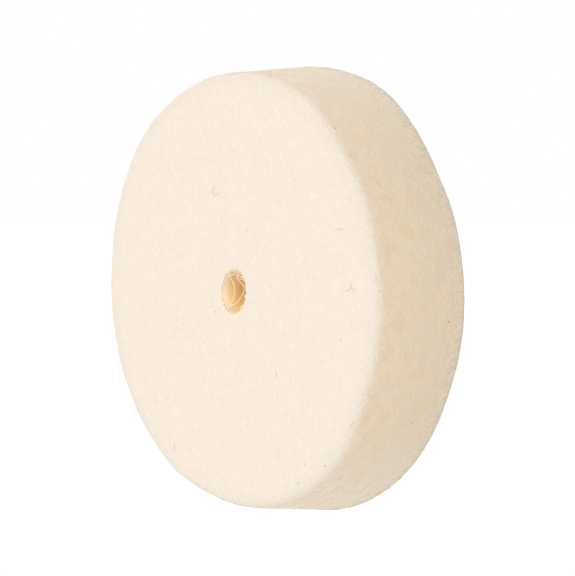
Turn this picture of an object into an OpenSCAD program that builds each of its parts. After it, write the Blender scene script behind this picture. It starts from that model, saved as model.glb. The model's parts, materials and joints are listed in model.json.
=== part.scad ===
// Felt polishing wheel for a rotary tool: a thick disc die-cut from pressed wool felt, with a punched
// bore that grips the screw of a mandrel. The wheel is a single piece of felt.
//
// Frame: the wheel's centre is the origin and its axis lies along Y. The front face looks towards -Y.
// All sizes are in millimetres.

/* [Wheel] */
// Diameter of the rim, half-way between the two faces
wheel_d = 25.4; // [18:0.1:40]
// Thickness, from the front face to the back face
wheel_t = 6; // [4:0.1:12]

/* [Rim] */
// How much wider the back face is than the front face, because the die's cut flares as it sinks
rim_flare = 1.1; // [0:0.05:2]
// Radius of the rim's front corner, which handling softens
front_edge_r = 0.4; // [0.1:0.05:1.2]
// Radius of the rim's back corner
back_edge_r = 0.3; // [0.1:0.05:1.2]

/* [Bore] */
// Diameter of the bore
bore_d = 2.6; // [1.6:0.1:6.4]
// Radius of the bore's two mouths, where the punch pulls the felt over
mouth_r = 0.3; // [0.1:0.05:0.8]

/* [Hidden] */

// Segments of a full turn, and steps in the rounding of one corner
turn_fn = 180;
round_steps = 6;

front_d = wheel_d - rim_flare / 2;
back_d = wheel_d + rim_flare / 2;

// The wheel's half section as [distance from the axis, height along the axis], with the front face on top.
// It runs from the bore's front mouth to the rim's front corner, its back corner and the bore's back mouth.
corners = [
    [bore_d / 2, wheel_t / 2],
    [front_d / 2, wheel_t / 2],
    [back_d / 2, -wheel_t / 2],
    [bore_d / 2, -wheel_t / 2],
];
corner_radii = [mouth_r, front_edge_r, back_edge_r, mouth_r];

function unit(v) = v / norm(v);
function corner(i) = corners[(i + len(corners)) % len(corners)];

// Directions from a corner to the one before it and to the one after it
function back_way(i) = unit(corner(i - 1) - corner(i));
function next_way(i) = unit(corner(i + 1) - corner(i));

// The way from a corner into the felt, and the angle that the felt fills there
function inward(i) = unit(back_way(i) + next_way(i));
function fill_angle(i) = acos(back_way(i) * next_way(i));

// The rounding's arc turns clockwise about its centre, from the side before the corner to the side after it
function round_centre(i) = corner(i) + inward(i) * corner_radii[i] / sin(fill_angle(i) / 2);
function rounded_corner(i) =
    let (
        centre = round_centre(i),
        outward = atan2(-inward(i)[1], -inward(i)[0]),
        sweep = 180 - fill_angle(i)
    )
    [
        for (step = [0:round_steps])
            let (angle = outward + sweep * (1 / 2 - step / round_steps))
            centre + corner_radii[i] * [cos(angle), sin(angle)]
    ];

module half_section() {
    polygon([for (i = [0:len(corners) - 1]) each rounded_corner(i)]);
}

module felt_wheel() {
    color("antiquewhite")
        rotate([90, 0, 0])
            rotate_extrude($fn = turn_fn)
                half_section();
}

felt_wheel();
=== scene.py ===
# %% [markdown]
# # A felt polishing wheel
#
# The wheel is a thick disc that a die cut from a sheet of pressed wool felt, with a punched bore that
# grips the screw of a mandrel. It is one piece of one material, so what makes it look real is the felt
# itself: fine pale fibres matted over both faces, a cut rim where the felt's layers show as streaks, a
# fuzzy band where the two meet, and a few loose strands across the bore.
#
# The plan: load the wheel's frame, turn the body from its half section, roughen it, lay thousands of
# fibres over it, then light it on a white table.

# %% Tools and frame
import json
import math
import random

import bmesh
import bpy
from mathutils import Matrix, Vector, noise
from mathutils.bvhtree import BVHTree

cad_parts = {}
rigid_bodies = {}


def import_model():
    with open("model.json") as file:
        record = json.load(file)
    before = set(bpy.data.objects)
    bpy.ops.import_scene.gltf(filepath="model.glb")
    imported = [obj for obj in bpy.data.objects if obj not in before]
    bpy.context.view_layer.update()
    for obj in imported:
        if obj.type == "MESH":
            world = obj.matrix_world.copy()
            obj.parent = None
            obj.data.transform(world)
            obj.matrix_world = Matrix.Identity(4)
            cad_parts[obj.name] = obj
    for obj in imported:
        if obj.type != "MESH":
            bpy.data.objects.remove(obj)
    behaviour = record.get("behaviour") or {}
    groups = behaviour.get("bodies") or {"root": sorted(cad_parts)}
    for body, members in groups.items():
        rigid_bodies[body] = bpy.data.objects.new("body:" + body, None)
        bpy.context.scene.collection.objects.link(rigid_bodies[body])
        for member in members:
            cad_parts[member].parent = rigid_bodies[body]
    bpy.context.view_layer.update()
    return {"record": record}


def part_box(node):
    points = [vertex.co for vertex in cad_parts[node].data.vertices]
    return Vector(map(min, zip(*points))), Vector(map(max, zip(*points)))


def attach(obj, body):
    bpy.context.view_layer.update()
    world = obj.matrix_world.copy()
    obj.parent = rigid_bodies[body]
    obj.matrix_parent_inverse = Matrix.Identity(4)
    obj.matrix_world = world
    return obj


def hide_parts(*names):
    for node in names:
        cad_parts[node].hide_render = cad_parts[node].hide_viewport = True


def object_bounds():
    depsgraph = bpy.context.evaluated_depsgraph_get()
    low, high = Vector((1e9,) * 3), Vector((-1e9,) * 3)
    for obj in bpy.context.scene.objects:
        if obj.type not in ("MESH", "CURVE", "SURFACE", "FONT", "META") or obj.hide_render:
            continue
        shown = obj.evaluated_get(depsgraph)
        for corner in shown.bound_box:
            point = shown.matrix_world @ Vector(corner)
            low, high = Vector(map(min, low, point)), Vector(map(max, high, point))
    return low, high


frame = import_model()

# %% [markdown]
# ## Sizes
#
# The frame gives the thickness and the bore. The wheel stands on its rim, its axis lies along Y and its
# front face looks towards -Y. Felt is cut with a die that flares as it sinks, so the back face is a little
# wider than the front one, and that flare is a size of its own. The felt round a punched hole swells back
# into it, so the bore comes out slightly tighter than the punch.

# %% Sizes
MM = 0.001
low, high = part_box("felt_wheel")
mounts = {mount["name"]: mount for mount in frame["record"]["mounts"]}

half_thickness = (high.y - low.y) / 2
bore_radius = mounts["arbor_bore"]["dims"]["r_mm"] * MM
rim_radius = 12.7 * MM
rim_flare = 0.55 * MM
front_radius = rim_radius - rim_flare / 2
back_radius = rim_radius + rim_flare / 2
front_corner_round = 0.4 * MM
back_corner_round = 0.3 * MM
mouth_round = 0.2 * MM
swollen_bore_radius = bore_radius - 0.15 * MM
print(f"rim {front_radius / MM:.3f} to {back_radius / MM:.3f} mm, bore {bore_radius / MM:.2f} mm")

# %% [markdown]
# ## The half section
#
# A turned body starts from half of its section. It could also start from a cylinder with a hole cut out of
# it, but a boolean leaves long thin faces that can't be roughened evenly. Four corner points, rounded with
# a vertex bevel and cut into short even steps, give a mesh whose faces are small all over.


# %% Draw the half section and round its corners
def add_loop(mesh, corners):
    """A closed loop of edges through corners given as (distance from the axis, place along it)."""
    points = [mesh.verts.new((radius, along, 0)) for radius, along in corners]
    for here, after in zip(points, points[1:] + points[:1]):
        mesh.edges.new((here, after))
    return points


body_mesh = bmesh.new()
corner_rounds = [mouth_round, front_corner_round, back_corner_round, mouth_round]
corner_points = add_loop(body_mesh, [
    (swollen_bore_radius, -half_thickness),
    (front_radius, -half_thickness),
    (back_radius, half_thickness),
    (swollen_bore_radius, half_thickness),
])
for point, size in zip(corner_points, corner_rounds):
    bmesh.ops.bevel(
        body_mesh, geom=[point], offset=size, offset_type="OFFSET", affect="VERTICES",
        segments=6, profile=0.5, material=-1,
    )
print("half section has", len(body_mesh.verts), "points after rounding")

# %% Cut the long edges into short steps
ring_step = 0.175 * MM
for edge in list(body_mesh.edges):
    cuts = round(edge.calc_length() / ring_step) - 1
    if cuts > 0:
        bmesh.ops.subdivide_edges(body_mesh, edges=[edge], cuts=cuts)
print("half section has", len(body_mesh.verts), "points after cutting")

# %% Spin it into the wheel
turn_steps = 440
bmesh.ops.spin(
    body_mesh, geom=body_mesh.verts[:] + body_mesh.edges[:], cent=(0, 0, 0), axis=(0, 1, 0),
    angle=math.tau, steps=turn_steps, use_merge=True, use_duplicate=False,
)
bmesh.ops.remove_doubles(body_mesh, verts=body_mesh.verts[:], dist=0.001 * MM)
bmesh.ops.recalc_face_normals(body_mesh, faces=body_mesh.faces[:])
print("body:", len(body_mesh.faces), "faces; volume", round(body_mesh.calc_volume() / MM**3), "mm3")

# %% [markdown]
# ## Marks for the finish
#
# The face, the cut rim, the fuzzy corner and the bore each have their own colour. While the body is still
# perfectly round its regions are easy to work out, so each point keeps three marks: how much it is cut
# rim, how much it lies on a corner, and how much it lies in the bore. The material reads them later.


# %% Mark the rim, the corners and the bore
def smooth_step(value, start, end):
    """0 where value is at start, 1 where it is at end, and smooth between."""
    share = min(max((value - start) / (end - start), 0), 1)
    return share * share * (3 - 2 * share)


cut_mark = body_mesh.verts.layers.float.new("cut")
corner_mark = body_mesh.verts.layers.float.new("corner")
bore_mark = body_mesh.verts.layers.float.new("bore")
for vert in body_mesh.verts:
    radius = math.hypot(vert.co.x, vert.co.z)
    wall = rim_radius + rim_flare / 2 * vert.co.y / half_thickness
    below_face = half_thickness - abs(vert.co.y)
    below_rim = wall - radius
    vert[cut_mark] = smooth_step(below_face - below_rim, -0.15 * MM, 0.5 * MM)
    vert[corner_mark] = 1 - smooth_step(1.3 * below_face + below_rim, 0.2 * MM, 1.1 * MM)
    beyond_bore = radius - below_face - bore_radius
    vert[bore_mark] = 1 - smooth_step(beyond_bore, -0.6 * MM, 0.1 * MM)
print("marked", len(body_mesh.verts), "points")

# %% [markdown]
# ## An uneven body
#
# Felt gives under the die, so a wheel comes out slightly oval and wavy. The edge of the front face leans and
# has a shallow dent on the right, and the bore is a touch off centre, taller than wide, and worn at the left
# of its front mouth. Smooth steps and a few waves round the rim say all that as a function of place.
#
# Then comes the matting: soft lumps all over, finer ones on top, shallow ridges on the cut rim that follow
# the felt's layers, and rougher corners. Sculpting would do it once; moving the points along their normals
# by noise gives the same wheel on each run, because the noise is a fixed function of place.

# %% Form and roughen
rim_waves_mm = {
    2: (-0.085, -0.185), 4: (-0.05, 0.0), 5: (0.055, -0.02), 6: (0.035, 0.01), 8: (0.0, 0.025),
    10: (-0.01, -0.02),
}
front_lean_mm = 0.14
front_dent_mm = 0.22
dent_angle = math.radians(-10)
bore_shift = Vector((-0.15, 0, -0.18)) * MM
bore_oval = 0.09
mouth_wear = 0.12 * MM
worn_depth = 0.45 * MM
worn_reach = 1.0 * MM


def soft_noise(place, size, squash=1.0):
    """Noise from -1 to 1 with lumps of this size, flattened along the wheel's axis by squash."""
    return noise.noise(Vector((place.x, place.y * squash, place.z)) / size)


def uneven(place):
    """Where a point of the perfectly round wheel lies on the real, slightly oval one."""
    radius = math.hypot(place.x, place.z)
    angle = math.atan2(place.z, place.x)
    wave = MM * sum(
        across * math.cos(turns * angle) + up * math.sin(turns * angle)
        for turns, (across, up) in rim_waves_mm.items()
    )
    front = smooth_step(-place.y, -half_thickness, half_thickness)
    lean = smooth_step(math.cos(angle), 0, 0.5) * math.sin(2 * angle) * front_lean_mm
    dent = smooth_step(math.cos(angle - dent_angle), 0.8, 0.97) * front_dent_mm
    wave -= front * (lean + dent) * MM
    share = smooth_step(radius, bore_radius, rim_radius)
    stretch = 1 + share * wave / rim_radius
    oval = bore_oval * (1 - share)
    formed = Vector((place.x * (stretch - oval), place.y, place.z * (stretch + oval)))
    worn = smooth_step(half_thickness + place.y, worn_depth, 0) * smooth_step(-math.cos(angle), 0, 1)
    worn *= 1 - smooth_step(radius, bore_radius, bore_radius + worn_reach)
    formed.x -= worn * mouth_wear
    return formed + bore_shift * (1 - share)


body_mesh.normal_update()
lifts = []
for vert in body_mesh.verts:
    place, cut, corner = vert.co, vert[cut_mark], vert[corner_mark]
    lift = 0.03 * soft_noise(place, 3.2 * MM) + 0.008 * soft_noise(place, 0.7 * MM)
    lift += 0.004 * soft_noise(place, 0.28 * MM)
    lift += cut * 0.010 * soft_noise(place, 0.9 * MM, squash=4)
    lift += corner * 0.022 * soft_noise(place, 0.8 * MM)
    lift += vert[bore_mark] * 0.05 * soft_noise(place, 0.8 * MM)
    lifts.append(vert.normal * lift * MM)
for vert, lift in zip(body_mesh.verts, lifts):
    vert.co = uneven(vert.co) + lift
body_mesh.normal_update()
skin = BVHTree.FromBMesh(body_mesh)
print("roughened; volume", round(body_mesh.calc_volume() / MM**3), "mm3")

# %% [markdown]
# ## Building finishes
#
# A finish is a node tree. Writing it as sums and products is easier to read than placing each Math node, so
# a small class wraps a node's output and turns +, - and * into Math nodes. Every other node comes from one
# method, which the studio's background uses too.


# %% A wire that does maths, and a finish that makes nodes
class Wire:
    """A node's output. Arithmetic on it adds Math nodes to its tree."""

    def __init__(self, tree, socket):
        self.tree, self.socket = tree, socket

    def maths(self, operation, *terms):
        return self.tree.node("ShaderNodeMath", {"operation": operation}, dict(enumerate(terms)))

    def __add__(self, other):
        return self.maths("ADD", self, other)

    def __sub__(self, other):
        return self.maths("SUBTRACT", self, other)

    def __rsub__(self, other):
        return self.maths("SUBTRACT", other, self)

    def __mul__(self, other):
        return self.maths("MULTIPLY", self, other)

    def __abs__(self):
        return self.maths("ABSOLUTE", self)

    __radd__, __rmul__ = __add__, __mul__


class Tree:
    """A node tree being built."""

    def __init__(self, owner):
        owner.use_nodes = True
        self.owner, self.nodes, self.links = owner, owner.node_tree.nodes, owner.node_tree.links

    def plug(self, node, sockets):
        """Gives each named or numbered socket its value, or the wire that feeds it."""
        for name, value in sockets.items():
            if isinstance(value, Wire):
                self.links.new(value.socket, node.inputs[name])
            else:
                node.inputs[name].default_value = value

    def node(self, kind, settings=None, sockets=None, output=0):
        """Makes any node, its settings first and then its sockets, and returns one output as a wire."""
        made = self.nodes.new(kind)
        for name, value in (settings or {}).items():
            setattr(made, name, value)
        self.plug(made, sockets or {})
        return Wire(self, made.outputs[output])


def new_finish(name):
    return Tree(bpy.data.materials.new(name))


def shade(finish, **sockets):
    """Sets or links the surface shader's sockets, with _ for the space in a name; returns the material."""
    finish.plug(finish.nodes["Principled BSDF"], {name.replace("_", " "): sockets[name] for name in sockets})
    return finish.owner


# %% Patterns that the finishes use
def mark(finish, name):
    """A mark that the body's points keep."""
    return finish.node("ShaderNodeAttribute", {"attribute_name": name}, output="Fac")


def grain(finish, size, detail=2.0, squash=1.0):
    """Noise from 0 to 1 with features of about this size, flattened along the axis by squash."""
    place = finish.node("ShaderNodeTexCoord", output="Object")
    if squash != 1:
        place = finish.node("ShaderNodeVectorMath", {"operation": "MULTIPLY"}, {0: place, 1: (1, squash, 1)})
    return finish.node("ShaderNodeTexNoise", {}, {"Vector": place, "Scale": 1 / size, "Detail": detail})


def from_to(tree, value, start, end, low=0.0, high=1.0):
    """low where value is at start, high where it is at end, and smooth between."""
    return tree.node(
        "ShaderNodeMapRange", {"interpolation_type": "SMOOTHSTEP"},
        {"Value": value, "From Min": start, "From Max": end, "To Min": low, "To Max": high},
    )


def blend(finish, share, first, second):
    """One colour where share is 0, the other where it is 1."""
    return finish.node("ShaderNodeMix", {"data_type": "RGBA"}, {0: share, 6: first, 7: second}, output=2)


def strokes(finish, size, width, squash=1.0):
    """Thin curved strokes like loose fibres: where noise crosses its middle, broken up by a second noise."""
    across = grain(finish, size, detail=1, squash=squash)
    line = 1 - from_to(finish, abs(across - 0.5), 0, width)
    return line * from_to(finish, grain(finish, 0.8 * size, detail=1), 0.5, 0.6)


# %% [markdown]
# ## The felt's finish and its painted light
#
# The faces are a warm white with faint tan mottles and curled paler strokes. The cut rim is darker and
# warmer: it shows the inside of the felt, where tan and greyish wool lie in layers parallel to the faces.
# It is darker still towards the back, which is painted shade, and paler towards its top and bottom, which
# is painted sheen. Noise that is flattened along the axis gives the layers, the streaks and the strokes on
# the rim. The front corner is paler, partly its fuzz and partly a painted highlight, and the back one is
# greyer, which is a painted shadow. The bore goes from pale at its mouths to a deep tan inside, which is
# painted shade and painted orange bounce light between its walls.
#
# A painted picture could hold all this, but noise on the wheel's own coordinates has no seam and stays
# sharp at any size, and the marks say where each colour ends.

# %% The felt body's material
FACE_WOOL = (0.770, 0.674, 0.567, 1)
FACE_MOTTLE = (0.75, 0.615, 0.46, 1)
FACE_STROKE = (0.805, 0.713, 0.607, 1)
RIM_WOOL = (0.765, 0.615, 0.448, 1)
RIM_BACK_SHADE = (0.617, 0.533, 0.405, 1)
RIM_TAN = (0.71, 0.53, 0.34, 1)
RIM_GREY = (0.69, 0.605, 0.48, 1)
RIM_SHEEN = (0.76, 0.655, 0.53, 1)
RIM_STROKE = (0.765, 0.65, 0.50, 1)
CORNER_FUZZ_AND_HIGHLIGHT = (0.73, 0.653, 0.56, 1)
BACK_CORNER_SHADE = (0.46, 0.42, 0.355, 1)
BORE_MOUTH = (0.97, 0.85, 0.61, 1)
BORE_WALL_BOUNCE = (0.98, 0.76, 0.42, 1)
BORE_DEEP_BOUNCE = (1.0, 0.70, 0.33, 1)


# %% How the faces, the rim and the bore are coloured
def face_colour(felt):
    face = blend(felt, from_to(felt, grain(felt, 0.6 * MM), 0.62, 0.76) * 0.8, FACE_WOOL, FACE_MOTTLE)
    curls = strokes(felt, 0.9 * MM, 0.02) + strokes(felt, 0.6 * MM, 0.03)
    return blend(felt, curls, face, FACE_STROKE)


def rim_colour(felt, along, upright):
    # Darker towards the back: painted shade where the rim turns away from the light.
    rim = blend(felt, from_to(felt, along, -half_thickness, half_thickness), RIM_WOOL, RIM_BACK_SHADE)
    layers = grain(felt, 0.7 * MM, detail=3, squash=5)
    rim = blend(felt, from_to(felt, layers, 0.55, 0.3) * 0.5, rim, RIM_GREY)
    mottles = grain(felt, 1.0 * MM, detail=3, squash=1.3)
    rim = blend(felt, from_to(felt, mottles, 0.46, 0.72) * 0.8, rim, RIM_TAN)
    streaks = grain(felt, 0.25 * MM, detail=3, squash=3)
    rim = blend(felt, from_to(felt, streaks, 0.42, 0.62) * 0.35, rim, RIM_TAN)
    rim = blend(felt, strokes(felt, 0.9 * MM, 0.03, squash=3) * 0.5, rim, RIM_STROKE)
    # Paler towards the top and bottom: painted sheen where the rim is seen at a grazing angle.
    return blend(felt, from_to(felt, abs(upright), 6 * MM, 12 * MM) * 0.5, rim, RIM_SHEEN)


def bore_shade_and_bounce(felt, along):
    # Pale at the mouths to deep orange inside: painted shade and painted orange bounce light between the
    # walls.
    depth = half_thickness - abs(along)
    inside = blend(felt, from_to(felt, depth, 0.1 * MM, 0.7 * MM), BORE_MOUTH, BORE_WALL_BOUNCE)
    return blend(felt, from_to(felt, depth, 0.7 * MM, 1.9 * MM), inside, BORE_DEEP_BOUNCE)


# %% Put them together with the marks
def felt_finish():
    felt = new_finish("wool_felt")
    cut, corner, bore = mark(felt, "cut"), mark(felt, "corner"), mark(felt, "bore")
    place = felt.node("ShaderNodeTexCoord", output="Object")
    along = felt.node("ShaderNodeSeparateXYZ", {}, {0: place}, output="Y")
    upright = felt.node("ShaderNodeSeparateXYZ", {}, {0: place}, output="Z")

    colour = blend(felt, cut, face_colour(felt), rim_colour(felt, along, upright))
    # The corners' paler colour: partly their fuzz, partly a painted highlight where the rounded edge catches
    # the light.
    colour = blend(felt, corner * (1 - 0.75 * cut), colour, CORNER_FUZZ_AND_HIGHLIGHT)
    # A greyish band on the back corner of the rim: a painted shadow where the edge rounds away from the
    # light.
    back = from_to(felt, along, half_thickness - 0.45 * MM, half_thickness - 0.15 * MM)
    colour = blend(felt, back * cut, colour, BACK_CORNER_SHADE)
    colour = blend(felt, bore, colour, bore_shade_and_bounce(felt, along))

    height = grain(felt, 0.12 * MM, detail=3) + 0.6 * grain(felt, 0.3 * MM, squash=2.5)
    bump = felt.node("ShaderNodeBump", {}, {"Strength": 0.5, "Distance": 0.006 * MM, "Height": height})
    return shade(
        felt, Base_Color=colour, Normal=bump, Roughness=0.95, Sheen_Weight=0.5, Sheen_Roughness=0.5,
        Specular_IOR_Level=0.2,
    )


felt_material = felt_finish()
print("felt finish has", len(felt_material.node_tree.nodes), "nodes")


# %% Keep the body as a piece of the wheel
def add_piece(name, mesh, *materials):
    """A new object at the origin that wears the materials and rides on the wheel."""
    for material in materials:
        mesh.materials.append(material)
    piece = bpy.data.objects.new(name, mesh)
    bpy.context.scene.collection.objects.link(piece)
    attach(piece, "root")
    return piece


felt_body_mesh = bpy.data.meshes.new("felt_body")
body_mesh.to_mesh(felt_body_mesh)
body_mesh.free()
felt_body_mesh.shade_smooth()
felt_body = add_piece("felt_body", felt_body_mesh, felt_material)
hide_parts("felt_wheel")
print("felt_body:", len(felt_body_mesh.polygons), "faces")

# %% [markdown]
# ## Fibres
#
# Felt is a mat of single wool fibres. What shows of each is about a millimetre long, thinner than 0.1 mm and
# curled by the wool's crimp. Hair particles can draw such fibres, but they stand up from the skin and don't
# come out as closed mesh. Here the fibres are drawn flat first, as curves on a sheet, with a section like a
# low roof, and the sheet is then wrapped onto the wheel: each point drops onto the nearest skin and keeps
# its height above it. The ends of a fibre dip under the skin, so it looks tucked in.


# %% Draw one fibre on a flat sheet
fibre_width = 0.055 * MM
fibre_ridge = 0.018 * MM


def flat_path(start, heading, length, turn, wander, height, draw, steps=6):
    """Points of a fibre: [place on the sheet and height over it, share of its full width]."""
    x, y = start
    path = []
    for step in range(steps + 1):
        middle = math.sin(math.pi * step / steps)
        path.append(((x, y, height * (1.6 * middle - 0.6)), 0.4 + 0.6 * middle))
        heading += turn / steps + draw.uniform(-wander, wander)
        x += math.cos(heading) * length / steps
        y += math.sin(heading) * length / steps
    return path


# %% Turn many paths into one mesh
def roof_section(width, height):
    """The section that every fibre is drawn with: a flat base and a low ridge."""
    section = bpy.data.curves.new("fibre_section", "CURVE")
    section.dimensions = "3D"
    spline = section.splines.new("POLY")
    spline.points.add(2)
    for point, (across, up) in zip(spline.points, ((-0.5, -0.5), (0.5, -0.5), (0, 0.5))):
        point.co = (across * width, up * height, 0, 1)
    spline.use_cyclic_u = True
    return bpy.data.objects.new("fibre_section", section)


def mesh_of(curve):
    """The thickened curve as plain mesh."""
    holder = bpy.data.objects.new(curve.name, curve)
    bpy.context.scene.collection.objects.link(holder)
    mesh = bpy.data.meshes.new_from_object(holder.evaluated_get(bpy.context.evaluated_depsgraph_get()))
    mesh.name = curve.name
    bpy.data.objects.remove(holder)
    return mesh


def fibres_mesh(name, paths, width, height):
    """One mesh of closed three-sided fibres that follow the paths."""
    curve = bpy.data.curves.new(name, "CURVE")
    curve.dimensions = "3D"
    curve.twist_mode = "Z_UP"
    curve.bevel_mode = "OBJECT"
    curve.bevel_object = roof_section(width, height)
    curve.use_fill_caps = True
    for path in paths:
        spline = curve.splines.new("POLY")
        spline.points.add(len(path) - 1)
        for point, (place, share) in zip(spline.points, path):
            point.co = (*place, 1)
            point.radius = share
    return mesh_of(curve)


# %% Wrap a sheet of fibres onto the wheel
def wrap(mesh, place_on_wheel):
    """Moves each point from the flat sheet to the skin, at its own height, and turns the faces outwards."""
    for vert in mesh.vertices:
        spot, normal, _, _ = skin.find_nearest(uneven(place_on_wheel(vert.co.x, vert.co.y)))
        vert.co = spot + normal * vert.co.z
    loose = bmesh.new()
    loose.from_mesh(mesh)
    bmesh.ops.recalc_face_normals(loose, faces=loose.faces[:])
    loose.to_mesh(mesh)
    loose.free()
    mesh.shade_flat()
    return mesh


def on_front(x, y):
    return Vector((x, -half_thickness, y))


def on_back(x, y):
    return Vector((x, half_thickness, y))


def on_rim(x, y):
    """The rim unrolled: x runs round it, y along the axis; past a corner the sheet folds over the face."""
    over = max(abs(y) - half_thickness, 0)
    along = min(max(y, -half_thickness), half_thickness)
    radius = rim_radius + rim_flare / 2 * along / half_thickness - over
    return Vector((radius * math.cos(x / rim_radius), along, radius * math.sin(x / rim_radius)))


# %% [markdown]
# A single fibre is one colour from end to end, so a fibre's finish is plain and the colour varies from one
# fibre to the next instead: most have the first tone of their place, some the second, and on the rim those
# in soft patches have a third, tan one. The patches are the ends of coarser locks in the felt.


# %% Finishes for loose wool
def wool_finish(name, tone):
    return shade(new_finish(name), Base_Color=tone, Roughness=0.8, Sheen_Weight=0.4, Specular_IOR_Level=0.2)


FACE_FIBRES = (
    wool_finish("face_wool", (0.79, 0.693, 0.585, 1)),
    wool_finish("pale_wool", (0.825, 0.735, 0.63, 1)),
)
RIM_FIBRES = (
    wool_finish("rim_wool", (0.703, 0.587, 0.438, 1)),
    wool_finish("pale_rim_wool", (0.735, 0.625, 0.478, 1)),
    wool_finish("tan_rim_wool", (0.70, 0.545, 0.375, 1)),
)
CORNER_FIBRES = (
    wool_finish("corner_wool", (0.742, 0.66, 0.555, 1)),
    wool_finish("pale_corner_wool", (0.782, 0.70, 0.60, 1)),
)
# Darker fibres for the back corner fuzz: painted shade where the edge rounds away from the light.
BACK_SHADE_FIBRES = (
    wool_finish("shaded_grey_wool", (0.585, 0.51, 0.39, 1)),
    wool_finish("shaded_tan_wool", (0.64, 0.55, 0.42, 1)),
)
# The strands are tinted orange: painted bounce light from the inside of the bore.
STRAND_BOUNCE_TINT = wool_finish("strand_wool", (0.90, 0.70, 0.47, 1))
BORE_FIBRE = wool_finish("bore_wool", (0.92, 0.79, 0.62, 1))
KEMP = wool_finish("dark_kemp", (0.54, 0.45, 0.35, 1))
# Tan husk colour for the crumbs; on the dark fuzz at the bore's mouth the same colour is painted shade
# between fibres.
HUSK_AND_SHADE = wool_finish("tan_husk_and_shade", (0.48, 0.33, 0.19, 1))


def pick_tones(mesh, count, draw, tan_patches=False):
    """Gives about one fibre in four its piece's second finish, and those in the tan patches its third."""
    faces_each = len(mesh.polygons) // count
    tones = [int(draw.random() < 0.28) for _ in range(count)]
    if tan_patches:
        for index in range(count):
            patch = soft_noise(mesh.polygons[index * faces_each].center, 0.9 * MM)
            if patch + draw.gauss(0, 0.12) > 0.17:
                tones[index] = 2
    for face in mesh.polygons:
        face.material_index = tones[face.index // faces_each]


# %% Fibres over a face
def face_fibres(name, place_on_wheel, reach, count, seed):
    """Fibres strewn over one flat face, in every direction."""
    draw = random.Random(seed)
    paths = []
    for _ in range(count):
        radius = math.sqrt(draw.uniform((bore_radius + 0.3 * MM) ** 2, reach**2))
        angle = draw.uniform(0, math.tau)
        paths.append(flat_path(
            (radius * math.cos(angle), radius * math.sin(angle)), draw.uniform(0, math.tau),
            draw.uniform(0.45, 1.3) * MM, turn=draw.gauss(0, 1.3), wander=0.25,
            height=draw.uniform(0.002, 0.010) * MM, draw=draw,
        ))
    mesh = wrap(fibres_mesh(name, paths, fibre_width, fibre_ridge), place_on_wheel)
    pick_tones(mesh, count, draw)
    return add_piece(name, mesh, *FACE_FIBRES)


for name, place_on_wheel, reach, seed in (
    ("front_fibres", on_front, front_radius - 0.2 * MM, 11),
    ("back_fibres", on_back, back_radius - 0.2 * MM, 12),
):
    piece = face_fibres(name, place_on_wheel, reach, count=5000, seed=seed)
    print(name, len(piece.data.polygons), "faces")


# %% Fibres round the rim, and fuzz on its corners
def rim_fibres(name, count, middle, reach, lean, length, ridge, materials, seed):
    """Fibres that run along the unrolled rim within reach of y = middle; lean turns some of them aside."""
    draw = random.Random(seed)
    paths = []
    for _ in range(count):
        start = (draw.uniform(0, math.tau) * rim_radius, middle + draw.uniform(-reach, reach))
        paths.append(flat_path(
            start, draw.choice((0, math.pi)) + draw.gauss(0, lean), draw.uniform(*length) * MM,
            turn=draw.gauss(0, 0.35), wander=0.15, height=draw.uniform(0.002, 0.010) * MM, draw=draw,
        ))
    mesh = wrap(fibres_mesh(name, paths, fibre_width, ridge), on_rim)
    pick_tones(mesh, count, draw, tan_patches=len(materials) > 2)
    return add_piece(name, mesh, *materials)


piece = rim_fibres(
    "rim_fibres", 5000, middle=0, reach=half_thickness * 0.96, lean=0.4, length=(0.5, 1.3),
    ridge=0.014 * MM, materials=RIM_FIBRES, seed=21,
)
print("rim_fibres", len(piece.data.polygons), "faces")
for name, middle, reach, materials, seed in (
    ("front_corner_fuzz", -half_thickness - 0.1 * MM, 0.5 * MM, CORNER_FIBRES, 31),
    ("back_corner_fuzz", half_thickness - 0.15 * MM, 0.3 * MM, BACK_SHADE_FIBRES, 32),
):
    piece = rim_fibres(name, 2500, middle, reach, 1.5, (0.3, 0.9), fibre_ridge, materials, seed)
    print(name, len(piece.data.polygons), "faces")

# %% [markdown]
# ## Strands across the bore
#
# The punch leaves a few loose strands that lie across the mouth of the bore, and a short fuzz round its
# edge. The strands' orange tint is painted bounce light from the bore, and dark hooks at the upper right of
# the mouth paint the shade between its fibres. They hang in the air, so they can't be wrapped onto the
# skin: the strands are smooth curves through a few given points, and the fuzz is short hooks that start in
# the mouth's edge.


# %% Draw strands through given points
def strand_mesh(name, strands, width):
    """Round strands through points in mm."""
    curve = bpy.data.curves.new(name, "CURVE")
    curve.dimensions = "3D"
    curve.bevel_depth = width / 2
    curve.bevel_resolution = 1
    curve.resolution_u = 5
    curve.use_fill_caps = True
    for strand in strands:
        spline = curve.splines.new("BEZIER")
        spline.bezier_points.add(len(strand) - 1)
        for point, place in zip(spline.bezier_points, strand):
            point.co = Vector(place) * MM
            point.handle_left_type = point.handle_right_type = "AUTO"
    return mesh_of(curve)


front_strands = [
    [(-0.70, -2.9, 0.85), (-0.38, -2.85, 0.40), (-0.19, -2.85, -0.05), (-0.28, -2.85, -0.46),
     (-0.50, -2.9, -0.9), (-0.75, -2.98, -1.25)],
    [(-0.15, -2.8, 0.72), (0.20, -2.85, 0.46), (0.57, -2.9, 0.29), (0.76, -2.92, 0.08),
     (0.62, -2.9, -0.22), (0.30, -2.88, -0.56), (-0.10, -2.9, -0.86), (-0.42, -2.98, -0.92)],
    [(-0.60, -2.95, 0.70), (-0.20, -2.92, 0.86), (0.25, -2.92, 0.80), (0.60, -2.98, 0.95)],
    [(0.08, -2.88, 0.90), (0.11, -2.9, 0.75), (0.27, -2.9, 0.60), (0.45, -2.9, 0.56), (0.62, -2.94, 0.62)],
    [(0.34, -2.92, 0.88), (0.42, -2.9, 0.69), (0.53, -2.92, 0.69), (0.68, -2.96, 0.80)],
]
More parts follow.
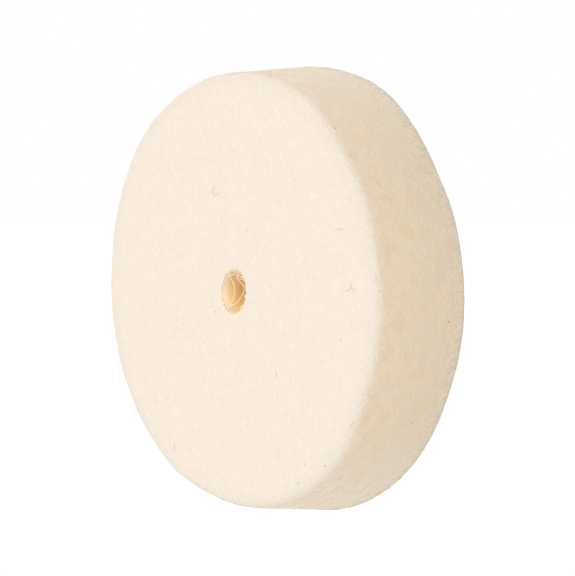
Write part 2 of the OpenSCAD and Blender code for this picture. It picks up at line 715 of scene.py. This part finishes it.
back_strands = [
    [(-0.9, 2.95, 0.6), (-0.3, 2.85, 0.5), (0.2, 2.85, 0.1), (0.6, 2.9, -0.5), (0.7, 2.98, -1.0)],
    [(0.7, 2.98, 0.9), (0.2, 2.85, 0.6), (-0.1, 2.85, 0.0), (-0.8, 2.95, -0.7)],
]
strands = strand_mesh("bore_strands", front_strands + back_strands, fibre_width)
piece = add_piece("bore_strands", strands, STRAND_BOUNCE_TINT)
print("bore_strands", len(piece.data.polygons), "faces")


# %% Fuzz round the bore's mouths
fuzz_width = 0.035 * MM
fuzz_ridge = 0.03 * MM


def mouth_fuzz(name, count, spread, reach, material, seed):
    """Short hooks that lean into the bore at both mouths; spread is their middle angle and deviation."""
    draw = random.Random(seed)
    paths = []
    for index in range(count):
        side = 1 if index % 3 == 0 else -1
        angle = math.radians(draw.gauss(*spread))
        path = []
        inward, turn, start = 0, draw.uniform(-0.35, 0.35), draw.uniform(0.05, 0.3)
        for share in (0.6, 1, 0.8, 0.4):
            radius = swollen_bore_radius + (start - inward) * MM
            depth = half_thickness - (0.02 + draw.uniform(0, 0.08)) * MM
            across = Vector((radius * math.cos(angle), side * depth, radius * math.sin(angle)))
            path.append((uneven(across), share))
            inward += draw.uniform(*reach)
            angle += turn * draw.uniform(0, 0.3)
        paths.append(path)
    mesh = fibres_mesh(name, paths, fuzz_width, fuzz_ridge)
    mesh.shade_flat()
    return add_piece(name, mesh, material)


piece = mouth_fuzz("bore_fuzz", 420, (0, 400), (0.03, 0.10), BORE_FIBRE, seed=41)
print("bore_fuzz", len(piece.data.polygons), "faces")
# Dark hooks at the mouth's upper right: painted shade between the fibres.
piece = mouth_fuzz("shade_fuzz", 100, (25, 35), (0.02, 0.07), HUSK_AND_SHADE, seed=42)
print("shade_fuzz", len(piece.data.polygons), "faces")

# %% [markdown]
# ## Kemp and husks
#
# Wool always carries a few coarse dark hairs, called kemp, and crumbs of husk. They are few enough to list
# one by one on the flat sheets, and they are wrapped onto the wheel like the fibres. A hair is a round
# strand and a crumb is a flattened ball with few faces, because each is hardly wider than a fibre.


# %% Dark kemp hairs
hair_width = 0.032 * MM
hair_height_mm = 0.004


def kemp_hairs(name, place_on_wheel, hairs):
    """Hairs through points given as (x, y) in mm on the sheet."""
    laid = [[(x, y, hair_height_mm) for x, y in hair] for hair in hairs]
    return add_piece(name, wrap(strand_mesh(name, laid, hair_width), place_on_wheel), KEMP)


def round_rim(degrees):
    """Millimetres along the unrolled rim to a place this far round the wheel."""
    return math.radians(degrees) * rim_radius / MM


front_hairs = [
    [(-1.9, 5.7), (-2.1, 5.45), (-1.95, 5.25), (-1.7, 5.2), (-1.45, 5.3)],
    [(10.4, 0.65), (10.45, 0.4), (10.75, 0.15)],
    [(10.45, 0.38), (10.25, 0.25), (10.0, 0.2)],
    [(10.3, -6.95), (10.0, -7.15), (9.75, -7.35)],
    [(-5.8, -9.25), (-5.75, -9.5), (-5.8, -9.75)],
    [(9.35, 3.62), (9.75, 3.58)],
    [(4.0, -4.15), (4.02, -4.45)],
]
rim_hairs = [
    [(round_rim(30.5), -1.55), (round_rim(29.5), -1.5), (round_rim(28.5), -1.4), (round_rim(28), -1.42)],
    [(round_rim(150), 0.6), (round_rim(151.5), 0.8), (round_rim(152), 1.2)],
    [(round_rim(215), -1.2), (round_rim(217), -1.1), (round_rim(218), -1.3)],
]
back_hairs = [
    [(-4.2, 6.1), (-4.0, 6.4), (-3.7, 6.45)],
    [(5.1, -3.3), (5.3, -3.6), (5.25, -4.0)],
    [(8.3, 4.9), (8.6, 4.8)],
    [(-7.9, -2.2), (-7.7, -2.5), (-7.8, -2.8)],
]
for name, place_on_wheel, hairs in (
    ("front_kemp", on_front, front_hairs), ("rim_kemp", on_rim, rim_hairs),
    ("back_kemp", on_back, back_hairs),
):
    print(name, len(kemp_hairs(name, place_on_wheel, hairs).data.polygons), "faces")


# %% Husk crumbs
def husk_crumbs(name, place_on_wheel, crumbs):
    """Crumbs given as (x, y, width) in mm on the sheet."""
    loose = bmesh.new()
    for x, y, width in crumbs:
        made = bmesh.ops.create_icosphere(loose, subdivisions=1, radius=width / 2 * MM)
        bmesh.ops.scale(loose, vec=(1, 1, 0.5), verts=made["verts"])
        bmesh.ops.translate(loose, vec=Vector((x, y, 0)) * MM, verts=made["verts"])
    mesh = bpy.data.meshes.new(name)
    loose.to_mesh(mesh)
    loose.free()
    return add_piece(name, wrap(mesh, place_on_wheel), HUSK_AND_SHADE)


front_crumbs = [
    (1.3, 3.3, 0.10), (9.5, -2.5, 0.09), (-1.85, -1.08, 0.11), (-5.1, -1.9, 0.08), (7.7, -9.3, 0.10),
    (5.5, -10.4, 0.10), (6.1, -9.3, 0.08),
]
rim_crumbs = [
    (round_rim(-7), 1.8, 0.14), (round_rim(-34), 1.0, 0.10), (round_rim(9), 0.4, 0.08),
    (round_rim(1), -2.8, 0.10), (round_rim(48), -2.5, 0.12), (round_rim(-6), 2.85, 0.16),
    (round_rim(-19), 2.85, 0.16), (round_rim(120), 0.9, 0.11), (round_rim(200), -0.7, 0.12),
    (round_rim(262), 1.6, 0.09),
]
back_crumbs = [(3.1, 7.2, 0.10), (-6.4, 3.0, 0.09), (-2.2, -5.8, 0.11), (7.7, -6.1, 0.08)]
for name, place_on_wheel, crumbs in (
    ("front_husks", on_front, front_crumbs), ("rim_husks", on_rim, rim_crumbs),
    ("back_husks", on_back, back_crumbs),
):
    print(name, len(husk_crumbs(name, place_on_wheel, crumbs).data.polygons), "faces")

# %% [markdown]
# ## Light, table and camera
#
# The wheel stands on a table that glows white inside a white studio, so there is no dark edge and hardly any
# shadow. The studio dims towards the wheel's back right, which darkens the rim against the background. A
# soft lamp high at the front right lifts the front face above the rim, and one at the back left does the
# same for the back face.

# %% White studio
scene = bpy.context.scene
scene.view_settings.view_transform = "Standard"

studio = Tree(bpy.data.worlds.new("white_studio"))
scene.world = studio.owner
back_right = (0.7, 0.7, 0.1)
view = studio.node("ShaderNodeTexCoord", output="Generated")
towards = studio.node(
    "ShaderNodeVectorMath", {"operation": "DOT_PRODUCT"}, {0: view, 1: back_right}, output="Value",
)
brightness = from_to(studio, towards, 0.05, 0.9, low=1.0, high=0.4)
studio.plug(studio.nodes["Background"], {"Color": brightness, "Strength": 1.0})
print("studio dims from 1.0 to 0.4 towards", back_right)

# %% Lit table
table_mesh = bmesh.new()
bmesh.ops.create_circle(table_mesh, cap_ends=True, segments=96, radius=2)
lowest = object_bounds()[0][2]
bmesh.ops.translate(table_mesh, vec=(0, 0, lowest), verts=table_mesh.verts[:])
table_data = bpy.data.meshes.new("lit_table")
table_mesh.to_mesh(table_data)
table_mesh.free()
table_data.materials.append(shade(
    new_finish("lit_white_table"), Base_Color=(0.05, 0.05, 0.05, 1), Roughness=1.0, Specular_IOR_Level=0.0,
    Emission_Color=(1, 1, 1, 1), Emission_Strength=1.0,
))
table = bpy.data.objects.new("lit_table", table_data)
scene.collection.objects.link(table)
print("table lies at", round(lowest / MM, 2), "mm")

# %% Soft lamps
def soft_lamp(name, place, size, energy):
    """A round soft box that faces the wheel."""
    data = bpy.data.lights.new(name, "AREA")
    data.shape = "DISK"
    data.size = size
    data.energy = energy
    lamp = bpy.data.objects.new(name, data)
    scene.collection.objects.link(lamp)
    lamp.location = place
    lamp.rotation_euler = (-lamp.location).to_track_quat("-Z", "Y").to_euler()
    print(name, "stands", round(lamp.location.length, 2), "m away")


soft_lamp("front_lamp", (0.36, -0.40, 0.32), size=0.35, energy=1.25)
soft_lamp("back_lamp", (-0.25, 0.55, 0.12), size=0.35, energy=1.2)

# %% Camera
camera_data = bpy.data.cameras.new("camera")
camera_data.lens = 163.7
camera_data.clip_start = 0.01
camera = bpy.data.objects.new("camera", camera_data)
scene.collection.objects.link(camera)
scene.camera = camera
azimuth, elevation = math.radians(50.3), math.radians(1.9)
distance = 12 * rim_radius
camera.location = distance * Vector((
    math.sin(azimuth) * math.cos(elevation), -math.cos(azimuth) * math.cos(elevation), math.sin(elevation),
))
look_at = Vector((math.cos(azimuth), math.sin(azimuth), 0)) * 0.72 * MM + Vector((0, 0, 0.01 * MM))
camera.rotation_euler = (look_at - camera.location).to_track_quat("-Z", "Y").to_euler()
print("camera stands", round(distance / MM), "mm away")
